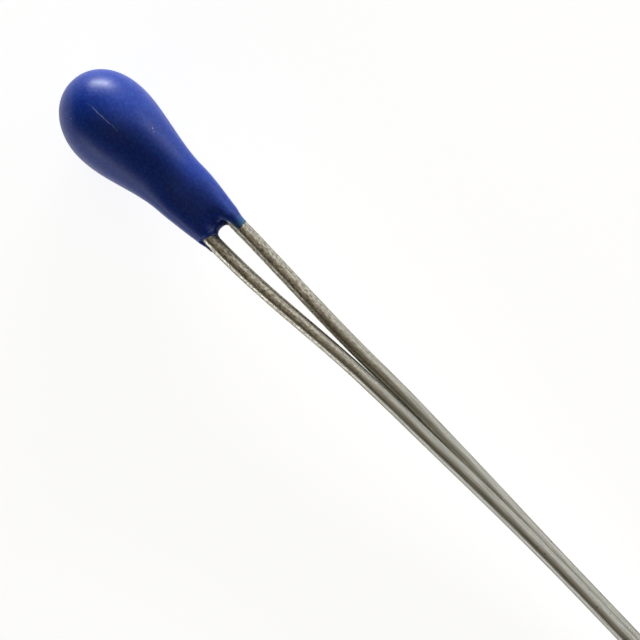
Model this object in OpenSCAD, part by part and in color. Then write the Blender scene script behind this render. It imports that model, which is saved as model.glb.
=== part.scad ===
// Bead thermistor lying on a flat surface: a ceramic chip soldered between two tinned wires and dipped in epoxy.
// Sizes are in millimetres. +X runs from the bead to the free ends of the wires, +Z is up, and z = 0 is the
// surface that it lies on. The origin is below the middle of the whole part.

/* [Bead] */
// Diameter of the bead at its widest
bead_d = 3.14; // [2.6:0.02:3.6]
// Distance from the nose of the bead to its widest place
nose_len = 1.95; // [1.6:0.05:2.4]
// Fullness of the nose, where 2 is a plain ellipse
nose_fullness = 2.08; // [1.9:0.02:2.6]
// Distance of the nose's tip from the bead's own axis
nose_shift = 0.04; // [0:0.01:0.1]
// Length over which the bead narrows to its neck
shoulder_len = 3.2; // [2.6:0.1:4]
// Distance of the chip and the wires from the bead's own axis
chip_shift = 0.12; // [0:0.02:0.24]
// Where the coating starts to draw over to the wires, from the nose
shift_start = 2.4; // [1.8:0.1:3]
// Where the coating has come in line with the wires, from the nose
shift_end = 5.8; // [5:0.1:6.4]

/* [Neck] */
// Length of the neck
neck_len = 1.75; // [1.3:0.05:2.4]
// Width of the neck next to the bead
neck_w = 2.1; // [1.9:0.05:2.4]
// Depth of the neck next to the bead
neck_h = 1.5; // [1.2:0.05:1.9]
// Thickness of the coating outside each wire at the end of the neck
exit_wall = 0.08; // [0.05:0.01:0.16]
// Depth of the coating at the end of the neck
exit_h = 0.96; // [0.8:0.02:1.2]
// How late the neck narrows, where 1 is a straight taper
neck_roll = 1.3; // [1:0.05:2.5]
// Rounding of the coating's end
lip_r = 0.1; // [0.05:0.01:0.14]
// Radius of the hollow that surface tension left between the wires
web_r = 0.34; // [0.3:0.01:0.4]
// Depth of that hollow, from the end of the neck
web_depth = 0.06; // [0.02:0.01:0.14]
// Length of the thin collar of coating that crept along wire A
collar_a = 0.1; // [0.05:0.05:0.4]
// Length of the thin collar of coating that crept along wire B
collar_b = 0.4; // [0.05:0.05:0.4]
// Thickness of a collar at its end
collar_wall = 0.02; // [0.01:0.005:0.04]

/* [Wires] */
// Diameter of each wire
wire_d = 0.51; // [0.4:0.01:0.56]
// Length of each wire outside the coating
wire_len = 38.1; // [36:0.1:60]
// Distance between the free ends, centre to centre
tip_pitch = 2.54; // [2:0.01:2.6]
// Straight run at each free end
tip_run = 7; // [4:0.5:9]
// Straight run of each wire next to the coating
root_run = 0.5; // [0.45:0.05:1]

/* [Wire bends] */
// Distance from the coating at which the wires have come together
draw_end = 6.9; // [5.5:0.1:8]
// Clear space between the wires where they run together
run_space = 0.03; // [0.02:0.01:0.1]
// Where the pair starts to roll one wire over the other, from the coating
roll_start = 2.1; // [1:0.1:3]
// Where the pair has finished rolling, from the coating
roll_end = 17.1; // [14:0.1:18]
// Angle that the pair has rolled by then, where 90 puts wire A straight above wire B
roll_max = 71; // [40:1:85]
// Sideways wander of the pair
wander = 0.16; // [0:0.02:0.3]
// Where the wander starts, from the coating
wander_start = 1.4; // [1:0.1:3]
// Where the wander is at its most, from the coating
wander_end = 8.9; // [7:0.1:10]
// Where the wander starts to go back, from the coating
return_start = 11.1; // [10:0.1:14]
// Where the wires part again, from the coating
part_start = 19.6; // [18.5:0.1:21]
// Length over which the wires roll back side by side as they part
unroll_len = 5.5; // [4.5:0.1:6]

/* [Chip] */
// Length of each side of the square ceramic chip
chip_side = 1.5; // [1.2:0.05:1.8]
// Thickness of the ceramic chip
chip_t = 0.37; // [0.3:0.01:0.45]
// Thickness of the fired silver on each face of the chip
electrode_t = 0.03; // [0.02:0.005:0.05]
// Bare rim of ceramic round each electrode
electrode_rim = 0.08; // [0.04:0.01:0.12]

/* [Solder] */
// Thickness of solder between a wire and its electrode
solder_film = 0.03; // [0.02:0.005:0.05]
// Radius of the solder round a wire at its thickest
solder_r = 0.4; // [0.37:0.01:0.45]
// Length of each solder joint
solder_len = 1.7; // [1.5:0.05:1.9]
// Length of wire inside the first half of its solder joint
wire_in_solder = 0.45; // [0.3:0.05:0.45]

/* [Smoothness] */
// Flat sides round the coating
coat_sides = 48; // [32:4:56]
// Flat sides round the bent stretch of a wire
wire_sides = 24; // [16:4:28]
// Steps along the bent stretch of a wire
wire_steps = 56; // [40:2:64]

/* [Hidden] */
$fn = 64;

A = -1;
B = 1;
bead_r = bead_d / 2;
wire_r = wire_d / 2;
// The wires stand as far apart as the chip, its electrodes and the solder between them make them.
wire_pitch = chip_t + 2 * (electrode_t + solder_film) + wire_d;
run_pitch = wire_d + run_space;
exit_w = wire_pitch + wire_d + 2 * exit_wall;
shoulder_x = nose_len + shoulder_len;
exit_x = shoulder_x + neck_len;
tip_x = exit_x + wire_len;
root_end = exit_x + root_run;
part_x = exit_x + part_start;
part_end = tip_x - tip_run;
chip_x = nose_len;
wire_in = chip_x - wire_in_solder;

// The part lies on the bead and on the two free ends, so it leans by this angle.
reach = tip_x - nose_len;
lean = asin(bead_r / sqrt(reach * reach + wire_r * wire_r)) - atan2(wire_r, reach);
bead_x = -((reach - nose_len) * cos(lean) + wire_r * sin(lean)) / 2;

// A bent stretch is drawn a hair thinner than the straight runs, and reaches a little way into both.
bend_r = wire_r - 0.0005;
lap = 0.03;

function ease(u) =
    let (v = min(max(u, 0), 1))
    v * v * (3 - 2 * v);
function ramp(x, from, to) = ease((x - from) / (to - from));

// Half-sizes and sideways place of the coating's sections, from the nose to the wires.
nose_rings = 12;
shoulder_rings = 14;
neck_rings = 7;
lip_rings = 3;
function nose_half(x) = bead_r * pow(1 - pow(1 - x / nose_len, nose_fullness), 1 / nose_fullness);
function neck_half(v, wide, narrow) = wide + (narrow - wide) * pow(v, neck_roll);
function middle(x) =
    nose_shift * (1 - ramp(x, 0, nose_len))
    + chip_shift * ramp(x, shift_start, shift_end);
function section(x, w, h) = [x, w, h, middle(x)];
nose = [
    for (i = [1 : nose_rings])
        let (x = nose_len * (1 - cos(90 * i / nose_rings)))
        section(x, nose_half(x), nose_half(x))
];
shoulder = [
    for (i = [1 : shoulder_rings])
        let (u = i / shoulder_rings)
        section(
            nose_len + shoulder_len * u,
            bead_r + (neck_w / 2 - bead_r) * ease(u),
            bead_r + (neck_h / 2 - bead_r) * ease(u)
        )
];
neck = [
    for (i = [1 : neck_rings])
        let (v = i / neck_rings)
        section(
            shoulder_x + (neck_len - lip_r) * v,
            neck_half(v, neck_w / 2, exit_w / 2),
            neck_half(v, neck_h / 2, exit_h / 2)
        )
];
lip = [
    for (i = [1 : lip_rings])
        let (a = 90 * i / lip_rings)
        section(
            exit_x - lip_r * (1 - sin(a)),
            exit_w / 2 - lip_r * (1 - cos(a)),
            exit_h / 2 - lip_r * (1 - cos(a))
        )
];
sections = concat(nose, shoulder, neck, lip);

// Where the two wires run. They draw together, roll one over the other, and part again before their free ends.
function pair_pitch(x) =
    wire_pitch
    + (run_pitch - wire_pitch) * ramp(x, root_end, exit_x + draw_end)
    + (tip_pitch - run_pitch) * ramp(x, part_x, part_end);
function pair_roll(x) =
    roll_max * (ramp(x, exit_x + roll_start, exit_x + roll_end) - ramp(x, part_x, part_x + unroll_len));
function pair_middle(x) =
    chip_shift
    + wander * ramp(x, exit_x + wander_start, exit_x + wander_end)
    - (chip_shift + wander) * ramp(x, exit_x + return_start, part_end);
function wire_at(x, side) =
    let (half = side * pair_pitch(x) / 2)
    [x, pair_middle(x) + half * cos(pair_roll(x)), -half * sin(pair_roll(x))];
function unit(v) = v / norm(v);
function wire_dir(x, side) = unit(wire_at(x + 0.02, side) - wire_at(x - 0.02, side));

module place() {
    translate([bead_x, 0, bead_r])
        rotate([0, lean, 0])
            translate([-nose_len, 0, 0])
                children();
}

// A closed tube through rings of points, with a first and a last point on its axis.
module tube(first, rings, last, sides) {
    count = len(rings);
    end = count * sides + 1;
    points = concat([first], [for (r = rings) for (p = r) p], [last]);
    side_faces = [
        for (i = [0 : count - 2])
            for (j = [0 : sides - 1])
                let (
                    a = 1 + i * sides + j,
                    b = 1 + i * sides + (j + 1) % sides
                )
                for (f = [[a, a + sides, b], [b, a + sides, b + sides]]) f
    ];
    first_faces = [for (j = [0 : sides - 1]) [0, 1 + j, 1 + (j + 1) % sides]];
    last_faces = [
        for (j = [0 : sides - 1])
            [end, end - sides + (j + 1) % sides, end - sides + j]
    ];
    polyhedron(points, concat(first_faces, side_faces, last_faces), convexity = 6);
}

module drop() {
    rings = [
        for (s = sections)
            [
                for (j = [0 : coat_sides - 1])
                    let (a = 360 * j / coat_sides)
                    [s[0], s[3] + s[1] * cos(a), s[2] * sin(a)]
            ]
    ];
    tube([0, middle(0), 0], rings, [exit_x, middle(exit_x), 0], coat_sides);
}

// The straight run of a wire, from its end in the solder to just outside the coating.
module wire_root(side) {
    translate([wire_in, chip_shift + side * wire_pitch / 2, 0])
        rotate([0, 90, 0])
            cylinder(h = root_end - wire_in, r = wire_r);
}

module wire_tip(side) {
    translate([part_end, side * tip_pitch / 2, 0])
        rotate([0, 90, 0])
            cylinder(h = tip_run, r = wire_r);
}

module wire_bends(side) {
    from = root_end - lap;
    to = part_end + lap;
    rings = [
        for (i = [0 : wire_steps])
            let (
                x = from + (to - from) * i / wire_steps,
                p = wire_at(x, side),
                d = wire_dir(x, side),
                u = unit(cross([0, 0, 1], d)),
                v = cross(d, u)
            )
            [
                for (j = [0 : wire_sides - 1])
                    let (a = 360 * j / wire_sides)
                    p + bend_r * (cos(a) * u + sin(a) * v)
            ]
    ];
    tube(wire_at(from, side), rings, wire_at(to, side), wire_sides);
}

module wire(side) {
    wire_root(side);
    wire_bends(side);
    wire_tip(side);
}

module chip() {
    translate([chip_x, chip_shift, 0])
        cube([chip_side, chip_t, chip_side], center = true);
}

module electrode(side) {
    span = chip_side - 2 * electrode_rim;
    translate([chip_x, chip_shift + side * (chip_t + electrode_t) / 2, 0])
        cube([span, electrode_t, span], center = true);
}

// Solder thins out along the wire at both ends, and is flat where it wets the electrode.
module solder_lens(side) {
    half = solder_len / 2;
    bow_r = (half * half + solder_r * solder_r) / (2 * solder_r);
    foot = chip_shift + side * (chip_t / 2 + electrode_t);
    intersection() {
        translate([chip_x, chip_shift + side * wire_pitch / 2, 0])
            rotate([0, 90, 0])
                rotate_extrude()
                    intersection() {
                        translate([solder_r - bow_r, 0])
                            circle(r = bow_r);
                        translate([0, -solder_len])
                            square([solder_len, 2 * solder_len]);
                    }
        translate([chip_x, foot + side * solder_len / 2, 0])
            cube([2 * solder_len, solder_len, 2 * solder_len], center = true);
    }
}

module solder(side) {
    difference() {
        solder_lens(side);
        wire_root(side);
    }
}

module collar(side, length) {
    translate([exit_x - lip_r, chip_shift + side * wire_pitch / 2, 0])
        rotate([0, 90, 0])
            cylinder(h = lip_r + length, r1 = wire_r + exit_wall, r2 = wire_r + collar_wall);
}

module web_hollow() {
    translate([exit_x - web_depth + web_r, chip_shift, 0])
        cylinder(h = bead_d, r = web_r, center = true);
}

module epoxy_coating() {
    color("#22339a")
        place()
            difference() {
                union() {
                    drop();
                    collar(A, collar_a);
                    collar(B, collar_b);
                }
                web_hollow();
                chip();
                electrode(A);
                electrode(B);
                solder_lens(A);
                solder_lens(B);
                wire_root(A);
                wire_root(B);
            }
}

module thermistor_chip() {
    color("#3a3634")
        place()
            chip();
}

module electrode_a() {
    color("#d9d9d6")
        place()
            electrode(A);
}

module electrode_b() {
    color("#d9d9d6")
        place()
            electrode(B);
}

module solder_joint_a() {
    color("#b5b8bb")
        place()
            solder(A);
}

module solder_joint_b() {
    color("#b5b8bb")
        place()
            solder(B);
}

module lead_a() {
    color("#a9a7a2")
        place()
            wire(A);
}

module lead_b() {
    color("#a9a7a2")
        place()
            wire(B);
}

epoxy_coating();
thermistor_chip();
electrode_a();
electrode_b();
solder_joint_a();
solder_joint_b();
lead_a();
lead_b();
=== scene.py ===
"""A bead thermistor, dressed: a drop of blue epoxy on two tinned wires, lying on a white board."""

import math

import bmesh
import bpy
from mathutils import Matrix, Vector


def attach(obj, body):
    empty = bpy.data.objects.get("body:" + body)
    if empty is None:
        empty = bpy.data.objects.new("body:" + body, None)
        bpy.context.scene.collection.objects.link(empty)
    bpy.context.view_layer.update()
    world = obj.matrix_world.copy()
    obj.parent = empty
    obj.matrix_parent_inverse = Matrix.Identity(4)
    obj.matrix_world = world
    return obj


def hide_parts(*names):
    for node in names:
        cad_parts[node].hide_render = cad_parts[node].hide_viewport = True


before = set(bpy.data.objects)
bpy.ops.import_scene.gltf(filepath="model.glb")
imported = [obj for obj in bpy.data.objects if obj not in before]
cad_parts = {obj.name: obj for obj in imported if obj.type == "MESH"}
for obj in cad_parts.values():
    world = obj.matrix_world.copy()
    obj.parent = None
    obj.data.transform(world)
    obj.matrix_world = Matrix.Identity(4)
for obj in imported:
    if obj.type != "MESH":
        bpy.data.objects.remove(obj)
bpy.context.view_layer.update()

# Sizes in millimetres, the same as in the part's source. x runs from the bead's nose along the wires.
MM = 0.001
# The drop: a round bead with a full nose, then a flatter neck that stands to one side with the chip.
BEAD_R = 1.57
NOSE_LEN, NOSE_FULLNESS, NOSE_SHIFT = 1.95, 2.08, 0.04
SHOULDER_X = NOSE_LEN + 3.2
EXIT_X = SHOULDER_X + 1.75
CHIP_SHIFT, SHIFT_START, SHIFT_END = 0.12, 2.4, 5.8
NECK_W, NECK_H, NECK_ROLL = 2.1, 1.5, 1.3
EXIT_W, EXIT_H = 1.67, 0.96
# The wires: where they draw together, roll by so many degrees, wander to one side, return and part.
WIRE_R = 0.255
WIRE_PITCH, RUN_PITCH, TIP_PITCH = 1.0, 0.54, 2.54
WIRE_IN = NOSE_LEN - 0.45
TIP_X = EXIT_X + 38.1
ROOT_END, DRAW_END = EXIT_X + 0.5, EXIT_X + 6.9
ROLL_START, ROLL_END, ROLL_MAX = EXIT_X + 2.1, EXIT_X + 17.1, 71
WANDER, WANDER_START, WANDER_END = 0.16, EXIT_X + 1.4, EXIT_X + 8.9
RETURN_START = EXIT_X + 11.1
PART_X, PART_END, UNROLL_LEN = EXIT_X + 19.6, TIP_X - 7.0, 5.5
# The sides of the two wires.
A, B = -1, 1

# The skin of the bead stays this far inside the solid, whose flat facets are a hair smaller than its curve.
SKIN_IN = 0.002

# The part leans a little, because it lies on the bead and on the free ends of the wires.
REACH = TIP_X - NOSE_LEN
LEAN = math.asin(BEAD_R / math.hypot(REACH, WIRE_R)) - math.atan2(WIRE_R, REACH)
BEAD_X = -((REACH - NOSE_LEN) * math.cos(LEAN) + WIRE_R * math.sin(LEAN)) / 2
PLACE = (
    Matrix.Translation((BEAD_X * MM, 0, BEAD_R * MM))
    @ Matrix.Rotation(LEAN, 4, "Y")
    @ Matrix.Translation((-NOSE_LEN * MM, 0, 0))
    @ Matrix.Scale(MM, 4)
)


def ease(u):
    """From 0 to 1, with a smooth start and end."""
    v = min(max(u, 0.0), 1.0)
    return v * v * (3 - 2 * v)


def ramp(x, start, end):
    """From 0 at the start to 1 at the end, eased."""
    return ease((x - start) / (end - start))


def mix(a, b, share):
    """A share of the way from a to b."""
    return a + (b - a) * share


def placed(x, y, z):
    """A point of the bead's own frame, in metres in the part's frame."""
    return PLACE @ Vector((x, y, z))


def drop_half(x):
    """Half the width and half the depth of the drop."""
    if x < NOSE_LEN:
        r = (BEAD_R - SKIN_IN) * (1 - (1 - x / NOSE_LEN) ** NOSE_FULLNESS) ** (1 / NOSE_FULLNESS)
        return r, r
    if x < SHOULDER_X:
        share = ramp(x, NOSE_LEN, SHOULDER_X)
        return mix(BEAD_R - SKIN_IN, NECK_W / 2, share), mix(BEAD_R - SKIN_IN, NECK_H / 2, share)
    share = ((x - SHOULDER_X) / (EXIT_X - SHOULDER_X)) ** NECK_ROLL
    return mix(NECK_W, EXIT_W, share) / 2, mix(NECK_H, EXIT_H, share) / 2


def drop_middle(x):
    """How far the middle of the drop stands to the side. Its nose and its neck are off the bead's axis."""
    return NOSE_SHIFT * (1 - ramp(x, 0, NOSE_LEN)) + CHIP_SHIFT * ramp(x, SHIFT_START, SHIFT_END)


def on_drop(x, y):
    """The point of the drop's upper skin over a place, in metres in the part's frame."""
    width, depth = drop_half(x)
    return placed(x, y, depth * math.sqrt(1 - ((y - drop_middle(x)) / width) ** 2))


def linear(colour):
    """An sRGB hex colour as linear RGBA."""
    values = [int(colour[i : i + 2], 16) / 255 for i in (1, 3, 5)]
    return tuple(v / 12.92 if v <= 0.04045 else ((v + 0.055) / 1.055) ** 2.4 for v in values) + (1.0,)


def add(tree, kind, inputs=None, **settings):
    """Adds a node. Its settings are its own properties, its inputs values or other nodes' outputs."""
    made = tree.nodes.new(kind)
    for name, value in settings.items():
        setattr(made, name, value)
    for key, value in (inputs or {}).items():
        if isinstance(value, bpy.types.NodeSocket):
            tree.links.new(value, made.inputs[key])
        else:
            made.inputs[key].default_value = value
    return made


def new_material(name):
    """A new material, its nodes and its shader."""
    material = bpy.data.materials.new(name)
    material.use_nodes = True
    tree = material.node_tree
    tree.nodes.clear()
    shader = add(tree, "ShaderNodeBsdfPrincipled")
    add(tree, "ShaderNodeOutputMaterial", {"Surface": shader.outputs["BSDF"]})
    return material, tree, shader


# The scratch on the bead, in millimetres: its two ends, half its width in the core and at the edge, how far
# it wavers to each side, and the lengths of its bends and breaks.
SCRATCH_START, SCRATCH_END = (0.82, -0.085), (2.3, -0.03)
SCRATCH_CORE, SCRATCH_EDGE, SCRATCH_WAVER = 0.008, 0.03, 0.06
BEND_LEN, BREAK_LEN = 0.3, 0.14
# It is clear between these shares of its length, and fades out down the bead's side between these heights
# from its start. The noise breaks it at the one level, and leaves it whole at the other.
CLEAR_START, CLEAR_END = 0.25, 0.8
UPPER_SIDE, LOWER_SIDE = -0.2, -0.4
BROKEN, WHOLE = 0.25, 0.55
# How much rougher the scratch is than the skin, and its height as a share of the peel's.
SCRATCH_DULL, SCRATCH_CUT = 0.4, -0.5


def scratch_line(tree, place):
    """1 on the scratch along the top of the bead, and 0 elsewhere."""
    start, end = on_drop(*SCRATCH_START), on_drop(*SCRATCH_END)
    length = math.dist(SCRATCH_START, SCRATCH_END)
    along = add(
        tree,
        "ShaderNodeMapping",
        {
            "Vector": place,
            "Location": start,
            "Rotation": (0, 0, math.atan2(end.y - start.y, end.x - start.x)),
            "Scale": (MM, MM, MM),
        },
        vector_type="TEXTURE",
    )
    axes = add(tree, "ShaderNodeSeparateXYZ", {"Vector": along.outputs["Vector"]}).outputs
    bends = add(tree, "ShaderNodeTexNoise", {"Vector": place, "Scale": 1 / (BEND_LEN * MM), "Detail": 1.0})
    waver = add(
        tree,
        "ShaderNodeMapRange",
        {"Value": bends.outputs["Fac"], "To Min": -SCRATCH_WAVER, "To Max": SCRATCH_WAVER},
    )
    wavered = add(tree, "ShaderNodeMath", {0: axes["Y"], 1: waver.outputs["Result"]})
    off_line = add(tree, "ShaderNodeMath", {0: wavered.outputs["Value"]}, operation="ABSOLUTE")
    gaps = add(tree, "ShaderNodeTexNoise", {"Vector": place, "Scale": 1 / (BREAK_LEN * MM), "Detail": 1.0})

    # Each limit has a value, where it leaves nothing of the scratch, and where it leaves all of it.
    scratch = 1.0
    for value, none, full in (
        (off_line.outputs["Value"], SCRATCH_EDGE, SCRATCH_CORE),
        (axes["X"], 0.0, CLEAR_START * length),
        (axes["X"], length, CLEAR_END * length),
        (axes["Z"], LOWER_SIDE, UPPER_SIDE),
        (gaps.outputs["Fac"], BROKEN, WHOLE),
    ):
        left = add(tree, "ShaderNodeMapRange", {"Value": value, "From Min": none, "From Max": full})
        limited = add(tree, "ShaderNodeMath", {0: scratch, 1: left.outputs["Result"]}, operation="MULTIPLY")
        scratch = limited.outputs["Value"]
    return scratch


# The epoxy's patterns, in millimetres: clouds and grain of its pigment, its haze, and its orange peel.
CLOUD, GRAIN, HAZE = 1.1, 0.1, 0.35
PEEL, PEEL_DEPTH = 0.2, 0.008
# Dust nibs, a paler patch beside the first nib and a pinhole, in millimetres: where each one is, how far
# across it is, and its colour. The paler patch is a painted highlight, and the pinhole's dark colour is
# painted shade in its hollow. The colour is full in the core, which is a share of the radius.
MARKS_AND_PAINTED_LIGHT = (
    (2.99, 0.85, 0.065, "#C4D3FF"),
    # A painted highlight: the paler patch beside the first nib.
    (3.1, 0.79, 0.17, "#4A62B4"),
    (0.87, -0.845, 0.06, "#7C92D6"),
    (2.13, -0.41, 0.05, "#6C7CC4"),
    (1.79, 0.815, 0.045, "#5E78CC"),
    # The pinhole, painted dark as the shade in its hollow.
    (0.49, 0.715, 0.09, "#0B1440"),
)
MARK_CORE = 0.4


def blue_epoxy():
    """Pigmented epoxy, dip-coated and cured: a glossy deep blue skin with faint orange peel.

    It has a hairline scratch, a few dust nibs with a painted highlight beside one, and a pinhole painted
    dark as the shade in its hollow, and thins out to a teal edge where it crept along the wires.
    """
    material, tree, shader = new_material("blue_epoxy_dip_coated")
    place = add(tree, "ShaderNodeTexCoord").outputs["Object"]

    # The pigment settles unevenly and has a fine grain, and the tin shows through the coating's thin edge.
    cloud = add(tree, "ShaderNodeTexNoise", {"Vector": place, "Scale": 1 / (CLOUD * MM), "Detail": 3.0})
    grain = add(tree, "ShaderNodeTexNoise", {"Vector": place, "Scale": 1 / (GRAIN * MM), "Detail": 3.0})
    grained = add(
        tree,
        "ShaderNodeMapRange",
        {"Value": grain.outputs["Fac"], "From Min": 0.42, "From Max": 0.66, "To Max": 0.5},
    )
    thin = add(tree, "ShaderNodeAttribute", attribute_name="thin")
    scratch = scratch_line(tree, place)
    covers = [
        (cloud.outputs["Fac"], "#0C3EBA"),
        (grained.outputs["Result"], "#1F65CE"),
        (thin.outputs["Fac"], "#3A7896"),
        (scratch, "#8FA2F2"),
    ]
    # The marks include a painted highlight and a pinhole painted as shade.
    for x, y, across, colour in MARKS_AND_PAINTED_LIGHT:
        radius = across / 2 * MM
        away = add(tree, "ShaderNodeVectorMath", {0: place, 1: on_drop(x, y)}, operation="DISTANCE")
        spot = add(
            tree,
            "ShaderNodeMapRange",
            {"Value": away.outputs["Value"], "From Min": radius, "From Max": MARK_CORE * radius},
        )
        covers.append((spot.outputs["Result"], colour))
    skin = linear("#0832AC")
    for share, colour in covers:
        covered = add(
            tree, "ShaderNodeMix", {"Factor": share, "A": skin, "B": linear(colour)}, data_type="RGBA"
        )
        skin = covered.outputs["Result"]
    tree.links.new(skin, shader.inputs["Base Color"])

    # The gloss varies a little, and the scratch is dull.
    haze = add(tree, "ShaderNodeTexNoise", {"Vector": place, "Scale": 1 / (HAZE * MM), "Detail": 4.0})
    gloss = add(
        tree,
        "ShaderNodeMapRange",
        {"Value": haze.outputs["Fac"], "From Min": 0.3, "From Max": 0.7, "To Min": 0.34, "To Max": 0.42},
    )
    rough = add(
        tree,
        "ShaderNodeMath",
        {0: scratch, 1: SCRATCH_DULL, 2: gloss.outputs["Result"]},
        operation="MULTIPLY_ADD",
    )
    tree.links.new(rough.outputs["Value"], shader.inputs["Roughness"])

    # The peel has finer ripples on it, and the scratch is cut into it.
    peel = add(tree, "ShaderNodeTexNoise", {"Vector": place, "Scale": 1 / (PEEL * MM), "Detail": 3.0})
    cut = add(
        tree,
        "ShaderNodeMath",
        {0: scratch, 1: SCRATCH_CUT, 2: peel.outputs["Fac"]},
        operation="MULTIPLY_ADD",
    )
    bump = add(
        tree,
        "ShaderNodeBump",
        {"Height": cut.outputs["Value"], "Strength": 0.5, "Distance": PEEL_DEPTH * MM},
    )
    tree.links.new(bump.outputs["Normal"], shader.inputs["Normal"])
    shader.inputs["IOR"].default_value = 1.45
    return material


# The inner side of wire A is darker near the bead. The darkening is full at the first place along the wire
# and gone at the second, and it is full from this far off the wire's middle.
DARKEST_X, UNDARKENED_X, DARKENING_EDGE = EXIT_X, EXIT_X + 1.5, 0.1


def wire_a_darkening(tree, place):
    """1 where wire A is darkened, and 0 elsewhere. Wire A's stretch of the pattern is below 0, so wire B
    has none.
    """
    axes = add(tree, "ShaderNodeSeparateXYZ", {"Vector": place}).outputs
    near_bead = add(
        tree,
        "ShaderNodeMapRange",
        {"Value": axes["X"], "From Min": (UNDARKENED_X - TIP_X) * MM, "From Max": (DARKEST_X - TIP_X) * MM},
    )
    inner_side = add(tree, "ShaderNodeMapRange", {"Value": axes["Y"], "From Max": DARKENING_EDGE * MM})
    darkening = add(
        tree,
        "ShaderNodeMath",
        {0: near_bead.outputs["Result"], 1: inner_side.outputs["Result"]},
        operation="MULTIPLY",
    )
    return darkening.outputs["Value"]


# Flux and heat have spotted the tin from the bead to the first place, and the spots end at the second.
# A share of the clean tin is left all the way.
SPOTTED, SPOTLESS, LEAST_CLEAN = 10.5, 17.0, 0.1
# The tin's patterns, in millimetres: the length and width of its die lines and spots, and their depth.
# Real die lines are finer, and these are as coarse as they need to be to show.
DIE_LINE, SPOT = (1.2, 0.05), (0.11, 0.07)
TIN_DEPTH = 0.004
# Nicks, about 0.05 mm across: the size of the cells that they are spread over, the shares of a cell where a
# nick is full and where it ends, and the share of the cells that have none of a kind.
NICK_CELL, NICK_CORE, NICK_EDGE, NICKLESS = 0.22, 0.06, 0.16, 0.88


def tinned_copper():
    """Copper wire, drawn and hot-tinned: a satin olive-grey metal with fine lines along the wire.

    Near the bead it is brown and spotted, with small bright and dark nicks. The pattern follows the wire
    through its bends.
    """
    material, tree, shader = new_material("tinned_copper_drawn_wire")
    place = add(tree, "ShaderNodeAttribute", attribute_name="wire_place").outputs["Vector"]
    whole_part = add(tree, "ShaderNodeTexCoord").outputs["Object"]
    along = add(tree, "ShaderNodeSeparateXYZ", {"Vector": whole_part}).outputs["X"]
    cleaner = add(
        tree,
        "ShaderNodeMapRange",
        {
            "Value": along,
            "From Min": placed(SPOTTED, 0, 0).x,
            "From Max": placed(SPOTLESS, 0, 0).x,
            "To Min": LEAST_CLEAN,
        },
    )
    clean = cleaner.outputs["Result"]

    grains = []
    for long, wide in (DIE_LINE, SPOT):
        scale = (1 / (long * MM), 1 / (wide * MM), 1 / (wide * MM))
        stretched = add(tree, "ShaderNodeMapping", {"Vector": place, "Scale": scale}).outputs["Vector"]
        noise = add(tree, "ShaderNodeTexNoise", {"Vector": stretched, "Scale": 1.0, "Detail": 2.5})
        spread = add(
            tree, "ShaderNodeMapRange", {"Value": noise.outputs["Fac"], "From Min": 0.3, "From Max": 0.7}
        )
        grains.append(spread.outputs["Result"])
    lines, spots = grains
    tone = add(tree, "ShaderNodeMix", {"Factor": clean, "A": spots, "B": lines}).outputs["Result"]

    # The dark and the light shade, each of them brown near the bead and grey further on.
    shades = []
    for brown, grey in (("#79705F", "#9E9D94"), ("#EFECDE", "#CACBC3")):
        shade = add(
            tree,
            "ShaderNodeMix",
            {"Factor": clean, "A": linear(brown), "B": linear(grey)},
            data_type="RGBA",
        )
        shades.append(shade.outputs["Result"])
    dark, light = shades
    shaded = add(tree, "ShaderNodeMix", {"Factor": tone, "A": dark, "B": light}, data_type="RGBA")

    # Bright burrs where the tin is scraped, and pits with dirt in them.
    cells = add(tree, "ShaderNodeTexVoronoi", {"Vector": place, "Scale": 1 / (NICK_CELL * MM)})
    chosen = add(tree, "ShaderNodeSeparateColor", {"Color": cells.outputs["Color"]})
    nick = add(
        tree,
        "ShaderNodeMapRange",
        {"Value": cells.outputs["Distance"], "From Min": NICK_EDGE, "From Max": NICK_CORE},
    )
    tin, height = shaded.outputs["Result"], tone
    for channel, colour, rise in (("Red", "#F2EFE6", 1.2), ("Green", "#4A443A", -0.8)):
        here = add(
            tree, "ShaderNodeMath", {0: chosen.outputs[channel], 1: NICKLESS}, operation="GREATER_THAN"
        )
        nicked = add(
            tree,
            "ShaderNodeMath",
            {0: nick.outputs["Result"], 1: here.outputs["Value"]},
            operation="MULTIPLY",
        )
        mark = nicked.outputs["Value"]
        marked = add(
            tree, "ShaderNodeMix", {"Factor": mark, "A": tin, "B": linear(colour)}, data_type="RGBA"
        )
        raised = add(tree, "ShaderNodeMath", {0: mark, 1: rise, 2: height}, operation="MULTIPLY_ADD")
        tin, height = marked.outputs["Result"], raised.outputs["Value"]

    # Wire A's inner side is made darker near the bead.
    darkened = add(
        tree,
        "ShaderNodeMix",
        {"Factor": wire_a_darkening(tree, place), "A": tin, "B": linear("#6F6D6A")},
        data_type="RGBA",
        blend_type="MULTIPLY",
    )
    tree.links.new(darkened.outputs["Result"], shader.inputs["Base Color"])

    # The spotted tin is glossier than the clean one, apart from its brown spots.
    patchy = add(tree, "ShaderNodeMapRange", {"Value": spots, "To Min": 0.4, "To Max": 0.28})
    rough = add(tree, "ShaderNodeMix", {"Factor": clean, "A": patchy.outputs["Result"], "B": 0.42})
    tree.links.new(rough.outputs["Result"], shader.inputs["Roughness"])
    bump = add(tree, "ShaderNodeBump", {"Height": height, "Strength": 0.5, "Distance": TIN_DEPTH * MM})
    tree.links.new(bump.outputs["Normal"], shader.inputs["Normal"])
    # The oxide takes more of the light that grazes the wire.
    shader.inputs["Specular Tint"].default_value = linear("#6B665E")
    shader.inputs["Metallic"].default_value = 1.0
    return material


# A grain changes the roughness by this much, and is as deep as this share of its size.
GRAIN_ROUGH, GRAIN_DEPTH = 0.1, 0.1


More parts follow.
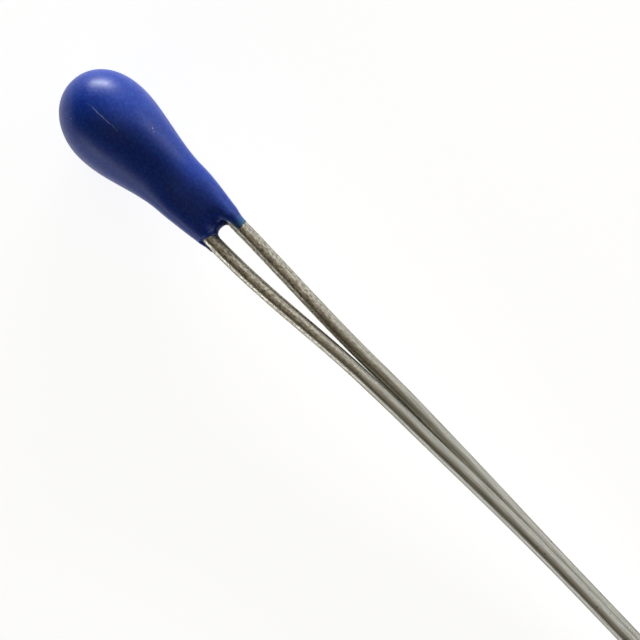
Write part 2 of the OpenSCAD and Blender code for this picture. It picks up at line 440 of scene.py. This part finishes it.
def grainy(name, dark, light, grain_mm, metallic, rough):
    """A surface with a two-tone grain, for the pieces sealed inside the bead.

    The grain is coarser than the real one, so that it shows.
    """
    material, tree, shader = new_material(name)
    place = add(tree, "ShaderNodeTexCoord").outputs["Object"]
    noise = add(tree, "ShaderNodeTexNoise", {"Vector": place, "Scale": 1 / (grain_mm * MM), "Detail": 4.0})
    grain = noise.outputs["Fac"]
    tone = add(
        tree, "ShaderNodeMix", {"Factor": grain, "A": linear(dark), "B": linear(light)}, data_type="RGBA"
    )
    tree.links.new(tone.outputs["Result"], shader.inputs["Base Color"])
    dull = add(
        tree,
        "ShaderNodeMapRange",
        {"Value": grain, "To Min": rough - GRAIN_ROUGH, "To Max": rough + GRAIN_ROUGH},
    )
    tree.links.new(dull.outputs["Result"], shader.inputs["Roughness"])
    depth = GRAIN_DEPTH * grain_mm * MM
    bump = add(tree, "ShaderNodeBump", {"Height": grain, "Strength": 0.5, "Distance": depth})
    tree.links.new(bump.outputs["Normal"], shader.inputs["Normal"])
    shader.inputs["Metallic"].default_value = metallic
    return material


# The board's white, as the camera and mirrors see it. The lamps add a little more, and the object's shadow.
BOARD_GLOW = 0.89


def white_board():
    """Matt white board. The camera and mirrors see it as white, and it keeps the object's soft shadow."""
    material, tree, shader = new_material("white_board_matt")
    shader.inputs["Base Color"].default_value = linear("#BDBDBC")
    shader.inputs["Roughness"].default_value = 0.8
    shader.inputs["Specular IOR Level"].default_value = 0.1
    rays = add(tree, "ShaderNodeLightPath").outputs
    seen = rays["Is Camera Ray"]
    for kind in ("Is Glossy Ray", "Is Transmission Ray"):
        seen = add(tree, "ShaderNodeMath", {0: seen, 1: rays[kind]}, operation="MAXIMUM").outputs["Value"]
    strength = add(tree, "ShaderNodeMath", {0: seen, 1: BOARD_GLOW}, operation="MULTIPLY")
    glow = add(tree, "ShaderNodeEmission", {"Strength": strength.outputs["Value"]})
    both = add(tree, "ShaderNodeAddShader", {0: shader.outputs["BSDF"], 1: glow.outputs["Emission"]})
    add(tree, "ShaderNodeOutputMaterial", {"Surface": both.outputs["Shader"]}, is_active_output=True)
    return material


# Turns a flat ring to face along x.
FACING_X = Matrix.Rotation(math.pi / 2, 4, "Y")


def extrude_ring(bm, edges):
    """Extrudes a closed ring of edges in place, and returns the new ring's points and edges."""
    made = bmesh.ops.extrude_edge_only(bm, edges=edges)["geom"]
    points = [g for g in made if isinstance(g, bmesh.types.BMVert)]
    new = set(points)
    ring = [g for g in made if isinstance(g, bmesh.types.BMEdge) and new.issuperset(g.verts)]
    return points, ring


def finished(name, bm, material, node, levels):
    """Puts a shape in its place as an object that stands for a CAD node."""
    bmesh.ops.transform(bm, matrix=PLACE, verts=bm.verts)
    for face in bm.faces:
        face.smooth = True
    mesh = bpy.data.meshes.new(name)
    bm.to_mesh(mesh)
    bm.free()
    mesh.materials.append(material)
    piece = bpy.data.objects.new(name, mesh)
    bpy.context.scene.collection.objects.link(piece)
    rounding = piece.modifiers.new("rounding", "SUBSURF")
    rounding.levels = rounding.render_levels = levels
    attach(piece, "root")
    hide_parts(node)


# Rings of the drop from its nose to the end of its neck, where the coating divides round the wires.
NOSE_RINGS, SHOULDER_RINGS, NECK_RINGS, DROP_SIDES = 18, 16, 8, 80
NECK_END = EXIT_X - 0.22


def drop_rings():
    """Where the rings of the drop are along x: closer together where it curves most."""
    nose = [NOSE_LEN * (1 - math.cos(math.pi / 2 * i / NOSE_RINGS)) for i in range(1, NOSE_RINGS + 1)]
    shoulder = [mix(NOSE_LEN, SHOULDER_X, i / SHOULDER_RINGS) for i in range(1, SHOULDER_RINGS + 1)]
    neck = [mix(SHOULDER_X, NECK_END, i / NECK_RINGS) for i in range(1, NECK_RINGS + 1)]
    return nose + shoulder + neck


def loft_drop(bm):
    """Lofts the drop from its nose to the end of its neck, and returns the last ring's points and edges."""
    points = bmesh.ops.create_circle(
        bm, cap_ends=True, cap_tris=True, segments=DROP_SIDES, radius=1.0, matrix=FACING_X
    )["verts"]
    nose = min(points, key=lambda v: v.co.length)
    edges = [e for e in bm.edges if e.is_boundary]
    rings = drop_rings()
    x0, y0, w0, h0 = 0, 0, 1, 1
    for x in rings:
        if x > rings[0]:
            points, edges = extrude_ring(bm, edges)
        y, (w, h) = drop_middle(x), drop_half(x)
        bmesh.ops.translate(bm, vec=(-x0, -y0, 0), verts=points)
        bmesh.ops.scale(bm, vec=(1, w / w0, h / h0), verts=points)
        bmesh.ops.translate(bm, vec=(x, y, 0), verts=points)
        x0, y0, w0, h0 = x, y, w, h
    # The middle of the cap is the tip of the nose.
    nose.co.x = SKIN_IN
    return points, edges


# The neck's section is squarer than an ellipse, whose power is 2, because it covers two wires side by side.
ELLIPSE, FLATNESS, FLAT_START, FLAT_END = 2, 2.6, 4.2, 5.5
# The neck dips towards the web: the share of its depth, where it starts, and how far it goes to each side.
DIP, DIP_START, DIP_WIDE = 0.4, EXIT_X - 0.8, 0.5


def between_wires(y):
    """1 in the middle between the wires, and 0 from the dip's edges outwards."""
    return 1 - ramp(abs(y - CHIP_SHIFT), 0, DIP_WIDE)


def shape_neck(bm):
    """Makes the neck's section squarer, and lets it dip towards the web."""
    for v in bm.verts:
        power = mix(ELLIPSE, FLATNESS, ramp(v.co.x, FLAT_START, FLAT_END))
        if power > ELLIPSE:
            middle, (w, h) = drop_middle(v.co.x), drop_half(v.co.x)
            across, up = (v.co.y - middle) / w, v.co.z / h
            fuller = (abs(across) ** power + abs(up) ** power) ** (-1 / power)
            v.co.yz = middle + across * fuller * w, up * fuller * h
        steep = (max(v.co.x - DIP_START, 0) / (NECK_END - DIP_START)) ** 2
        v.co.z *= 1 - DIP * steep * between_wires(v.co.y)


# The web between the wires, where the coating divides: the place of its middle, and its number of edges.
WEB_X, WEB_CUTS = EXIT_X + 0.04, 20


def web_edges(bm, top, bottom, web_top):
    """A bowed row of edges from the top of the neck's last ring to its bottom."""
    last, web = top, []
    for i in range(1, WEB_CUTS):
        up = math.cos(math.pi * i / WEB_CUTS)
        made = bmesh.ops.extrude_vert_indiv(bm, verts=[last])
        last = made["verts"][0]
        last.co = (mix(WEB_X, NECK_END, up**2), CHIP_SHIFT, web_top * up)
        web += made["edges"]
    return web + bmesh.ops.contextual_create(bm, geom=[last, bottom])["edges"]


# Where the coating ends on each wire, from EXIT_X: on its outer side, on its inner side, and on the tongue
# along wire A or the bare strip on wire B. The edge waves by so much, so many times round the wire.
A_OUTER, A_INNER, A_TONGUE = -0.07, 0.25, 0.38
B_OUTER, B_INNER, B_BARE = 0.47, 0.14, -0.08
EDGE_WAVE, EDGE_WAVES = 0.015, 5
# Where each of these goes over to the next, in degrees from the wire's outer side.
TONGUE_FLANK, A_FLANK, B_FLANK = (12, 30), (80, 195), (80, 130)
BARE_START, BARE_END = (116, 132), (148, 178)
# Thickness of the coating there, and on the tongue.
FILM, TONGUE_FILM = 0.014, 0.03
# How far the tin shows through at the coating's end on each wire, and from which share of the way on.
THINNESS, THIN_START = {A: 0.3, B: 0.8}, 0.35
# At this share of the way to its end the coating is down on the wire. Between the wires it curves away from
# the web like a saddle, and by the second share less at the web's top and bottom.
LANDING, SADDLE_TOP = 0.8, 0.7
# Rows of points along a wire: a share of the way to the coating's end, and how far a row goes back inside.
ROWS_OUT = [(share, 0) for share in (0.15, 0.3, 0.45, 0.6, LANDING, 1)]
ROWS_BACK = [(1, back) for back in (0.004, 0.03, 0.3, 4)]
# The coating's bore is a hair wider than the wire.
BORE_R = WIRE_R + 0.0005


def tongue(side, turn):
    """1 on the tongue of coating along wire A, and 0 elsewhere."""
    return 1 - ramp(abs(turn), *TONGUE_FLANK) if side == A else 0


def creep(side, turn):
    """The coating's end on a wire. 0 degrees is its outer side, 90 its top and 180 its inner side."""
    if side == A:
        edge = mix(mix(A_OUTER, A_INNER, ramp(abs(turn), *A_FLANK)), A_TONGUE, tongue(side, turn))
    elif turn < 0:
        edge = mix(B_OUTER, B_INNER, ramp(-turn, *B_FLANK))
    else:
        # A strip on the upper inner side of wire B stays bare.
        edge = mix(mix(B_OUTER, B_BARE, ramp(turn, *BARE_START)), B_INNER, ramp(turn, *BARE_END))
    return EXIT_X + edge + EDGE_WAVE * math.sin(math.radians(EDGE_WAVES * turn))


def coat_wire(bm, side, loop, web_top):
    """Takes a ring of the coating along a wire to its end there, then over its edge and back inside."""
    start = bm.verts.layers.float_vector["start"]
    thin = bm.verts.layers.float["thin"]
    hollow = bm.verts.layers.float["hollow"]
    wire_y = CHIP_SHIFT + side * WIRE_PITCH / 2
    for v in {v for e in loop for v in e.verts}:
        v[start] = (v.co.x, side * (v.co.y - wire_y), v.co.z)
        high = min(abs(v.co.z) / web_top, 1)
        v[hollow] = between_wires(v.co.y) * (1 - SADDLE_TOP * high**2)
    for share, back in ROWS_OUT + ROWS_BACK:
        # It eases down onto the wire, or falls off in a quarter of a circle where it is hollow.
        down = ease(share / LANDING)
        fall = math.pi / 2 * min(share / LANDING, 1)
        fallen = LANDING * (1 - math.cos(fall)) + max(share - LANDING, 0)
        points, loop = extrude_ring(bm, loop)
        for v in points:
            x, out, up = v[start]
            angle = math.atan2(up, out)
            turn = math.degrees(angle)
            film = WIRE_R + mix(FILM, TONGUE_FILM, tongue(side, turn))
            x = mix(x, creep(side, turn), mix(share, fallen, v[hollow])) - back
            out = mix(out, film * math.cos(angle), mix(down, math.sin(fall), v[hollow]))
            up = mix(up, film * math.sin(angle), down)
            if back:
                out, up = BORE_R * math.cos(angle), BORE_R * math.sin(angle)
            v[thin] = ramp(share, THIN_START, 1) * THINNESS[side]
            v.co = (x, wire_y + side * out, up)
    bmesh.ops.contextual_create(bm, geom=loop)


def epoxy_drop(material):
    """The coating: a lofted drop whose end divides round the two wires, with a hollow web between them."""
    bm = bmesh.new()
    bm.verts.layers.float_vector.new("start")
    bm.verts.layers.float.new("thin")
    bm.verts.layers.float.new("hollow")
    points, edges = loft_drop(bm)
    top = max(points, key=lambda v: v.co.z)
    bottom = min(points, key=lambda v: v.co.z)
    shape_neck(bm)
    # The web divides the last ring into one ring round each wire.
    web_top = top.co.z
    web = web_edges(bm, top, bottom, web_top)
    for side in (A, B):
        half = [e for e in edges if side * (sum(v.co.y for v in e.verts) / 2 - CHIP_SHIFT) > 0]
        coat_wire(bm, side, half + web, web_top)
    bmesh.ops.recalc_face_normals(bm, faces=bm.faces)
    finished("epoxy_drop", bm, material, "epoxy_coating", levels=2)


def wire_at(x, side):
    """The middle of a wire. The pair draws together, rolls one over the other, and parts at the end."""
    pitch = (
        WIRE_PITCH
        + (RUN_PITCH - WIRE_PITCH) * ramp(x, ROOT_END, DRAW_END)
        + (TIP_PITCH - RUN_PITCH) * ramp(x, PART_X, PART_END)
    )
    roll = math.radians(ROLL_MAX * (ramp(x, ROLL_START, ROLL_END) - ramp(x, PART_X, PART_X + UNROLL_LEN)))
    middle = (
        CHIP_SHIFT
        + WANDER * ramp(x, WANDER_START, WANDER_END)
        - (CHIP_SHIFT + WANDER) * ramp(x, RETURN_START, PART_END)
    )
    half = side * pitch / 2
    return Vector((x, middle + half * math.cos(roll), -half * math.sin(roll)))


# A wire's flat sides and its steps, before rounding, and the rounding of its cut ends.
WIRE_SIDES, WIRE_STEPS, END_ROUND = 36, 150, 0.035
# A wire's direction at a place is taken from this far before it to this far past it.
NEARBY = 0.02


def wire_frame(x, side):
    """A frame at a place along a wire, with its first axis along the wire."""
    along = (wire_at(x + NEARBY, side) - wire_at(x - NEARBY, side)).normalized()
    across = Vector((0, 0, 1)).cross(along).normalized()
    turned = Matrix((along, across, along.cross(across))).transposed().to_4x4()
    return Matrix.Translation(wire_at(x, side)) @ turned


def tinned_wire(name, side, material, node):
    """A bare wire from its end in the solder to its free end, with the cut ends' edges rounded."""
    bm = bmesh.new()
    wire_place = bm.verts.layers.float_vector.new("wire_place")
    points = bmesh.ops.create_circle(
        bm, cap_ends=True, segments=WIRE_SIDES, radius=WIRE_R, matrix=FACING_X
    )["verts"]
    # Each wire has a stretch of the pattern of its own.
    pattern_start = side * TIP_X
    for v in points:
        v[wire_place] = Vector((pattern_start + WIRE_IN, v.co.y, v.co.z)) * MM
    here = wire_frame(WIRE_IN, side)
    bmesh.ops.transform(bm, matrix=here, verts=points)
    inner_edge = edges = list(bm.edges)
    for i in range(1, WIRE_STEPS + 1):
        x = mix(WIRE_IN, TIP_X, i / WIRE_STEPS)
        points, edges = extrude_ring(bm, edges)
        there = wire_frame(x, side)
        bmesh.ops.transform(bm, matrix=there @ here.inverted(), verts=points)
        for v in points:
            v[wire_place].x = (pattern_start + x) * MM
        here = there
    bmesh.ops.contextual_create(bm, geom=edges)
    bmesh.ops.bevel(
        bm,
        geom=inner_edge + edges,
        offset=END_ROUND,
        offset_type="OFFSET",
        affect="EDGES",
        segments=3,
        profile=0.5,
        material=-1,
    )
    bmesh.ops.recalc_face_normals(bm, faces=bm.faces)
    finished(name, bm, material, node, levels=1)


epoxy_drop(blue_epoxy())
tin_wire = tinned_copper()
tinned_wire("wire_a", A, tin_wire, "lead_a")
tinned_wire("wire_b", B, tin_wire, "lead_b")

# The pieces sealed in the bead keep their CAD shapes. The chip is a dark, dull ceramic, the silver on it
# is a pale, satin metal with a fine grain, and the solder is greyer and glossier, with coarse grains.
oxide = grainy("metal_oxide_sintered", "#26211E", "#4A433E", grain_mm=0.03, metallic=0.0, rough=0.8)
silver = grainy("silver_printed_and_fired", "#B9B7B0", "#E2E0DA", grain_mm=0.02, metallic=1.0, rough=0.5)
solder = grainy("solder_flowed", "#8F9294", "#BFC2C4", grain_mm=0.12, metallic=1.0, rough=0.35)
for node, inner in (
    ("thermistor_chip", oxide),
    ("electrode_a", silver),
    ("electrode_b", silver),
    ("solder_joint_a", solder),
    ("solder_joint_b", solder),
):
    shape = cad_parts[node]
    shape.data.materials.clear()
    shape.data.materials.append(inner)

# Half the width of the board, and the distance of the soft boxes from the bead, in metres.
BOARD_HALF, LIGHT_REACH = 1.5, 0.36
# The warm colour of the ceiling, and its strength.
CEILING, CEILING_GLOW = "#FFEFD6", 0.062


def floor_board():
    """The board that the part lies on, much wider than the view."""
    bm = bmesh.new()
    bmesh.ops.create_grid(bm, x_segments=1, y_segments=1, size=BOARD_HALF)
    mesh = bpy.data.meshes.new("floor_board")
    bm.to_mesh(mesh)
    bm.free()
    mesh.materials.append(white_board())
    board = bpy.data.objects.new("floor_board", mesh)
    bpy.context.scene.collection.objects.link(board)


def studio_world():
    """Faint even light from all round, from a warm ceiling."""
    world = bpy.data.worlds.new("studio_world")
    world.use_nodes = True
    tree = world.node_tree
    tree.nodes.clear()
    sky = add(tree, "ShaderNodeBackground", {"Color": linear(CEILING), "Strength": CEILING_GLOW})
    add(tree, "ShaderNodeOutputWorld", {"Surface": sky.outputs["Background"]})
    bpy.context.scene.world = world


def soft_light(name, azimuth, elevation, wide, tall, strength, lights=True, shines=True, colour="#FFFFFF"):
    """A soft box that faces the bead. Its place and size are angles in degrees, as the bead sees it.

    Its strength is in watts for each square metre. A card that doesn't light is only seen in the gloss,
    and a box that doesn't shine isn't seen in it.
    """
    lamp = bpy.data.lights.new(name, "AREA")
    lamp.shape = "RECTANGLE"
    lamp.color = linear(colour)[:3]
    lamp.size, lamp.size_y = (2 * LIGHT_REACH * math.tan(math.radians(angle / 2)) for angle in (wide, tall))
    lamp.energy = strength * lamp.size * lamp.size_y
    raised = Matrix.Rotation(math.radians(-elevation), 3, "Y")
    way = Matrix.Rotation(math.radians(azimuth), 3, "Z") @ raised @ Vector((1, 0, 0))
    holder = bpy.data.objects.new(name, lamp)
    holder.location = placed(NOSE_LEN, 0, 0) + LIGHT_REACH * way
    holder.rotation_euler = way.to_track_quat("Z", "Y").to_euler()
    holder.visible_camera = False
    holder.visible_diffuse = lights
    holder.visible_glossy = shines
    bpy.context.scene.collection.objects.link(holder)


floor_board()
studio_world()
# Low boxes light the part from the top, right and lower left of the view, and cards give it its gloss.
# The numbers are azimuth, elevation, width, height and strength.
soft_light("key_box", 135, 6.5, 60, 13, 35.3, shines=False)
soft_light("nose_card", 139, 3, 32, 6, 175, lights=False)
soft_light("edge_box", 60, 6.5, 30, 13, 6)
soft_light("flank_box", 100, 5.5, 60, 10, 13.5, shines=False)
soft_light("low_strip", -75, 6.5, 60, 13, 8)
soft_light("side_card", 105, 24, 100, 22, 2.2, lights=False)
soft_light("shoulder_card", 62, 19, 22, 12, 9, lights=False)
soft_light("high_card", 90, 50, 44, 30, 2.2, lights=False)
soft_light("top_card", 90, 85, 60, 60, 0.8, lights=False, colour=CEILING)

# The view, in millimetres: its middle, the height of the wires there, and its width at that height.
VIEW_X, VIEW_Y, VIEW_HEIGHT, VIEW_WIDTH = 11.4, 0.311, 1.2, 21.19
# The view's turn in degrees, and the camera's height over the board in metres.
VIEW_TURN, CAMERA_HEIGHT = 45.21, 0.3


def camera_above():
    """The camera looks straight down, turned so that the wires run from upper left to lower right."""
    lens = bpy.data.cameras.new("camera")
    lens.lens = lens.sensor_width * (CAMERA_HEIGHT - VIEW_HEIGHT * MM) / (VIEW_WIDTH * MM)
    lens.clip_start, lens.clip_end = 0.01, 10.0
    camera = bpy.data.objects.new("camera", lens)
    middle = placed(VIEW_X, VIEW_Y, 0)
    camera.location = (middle.x, middle.y, CAMERA_HEIGHT)
    camera.rotation_euler = (0, 0, math.radians(VIEW_TURN))
    bpy.context.scene.collection.objects.link(camera)
    bpy.context.scene.camera = camera


camera_above()
bpy.context.scene.view_settings.view_transform = "Standard"
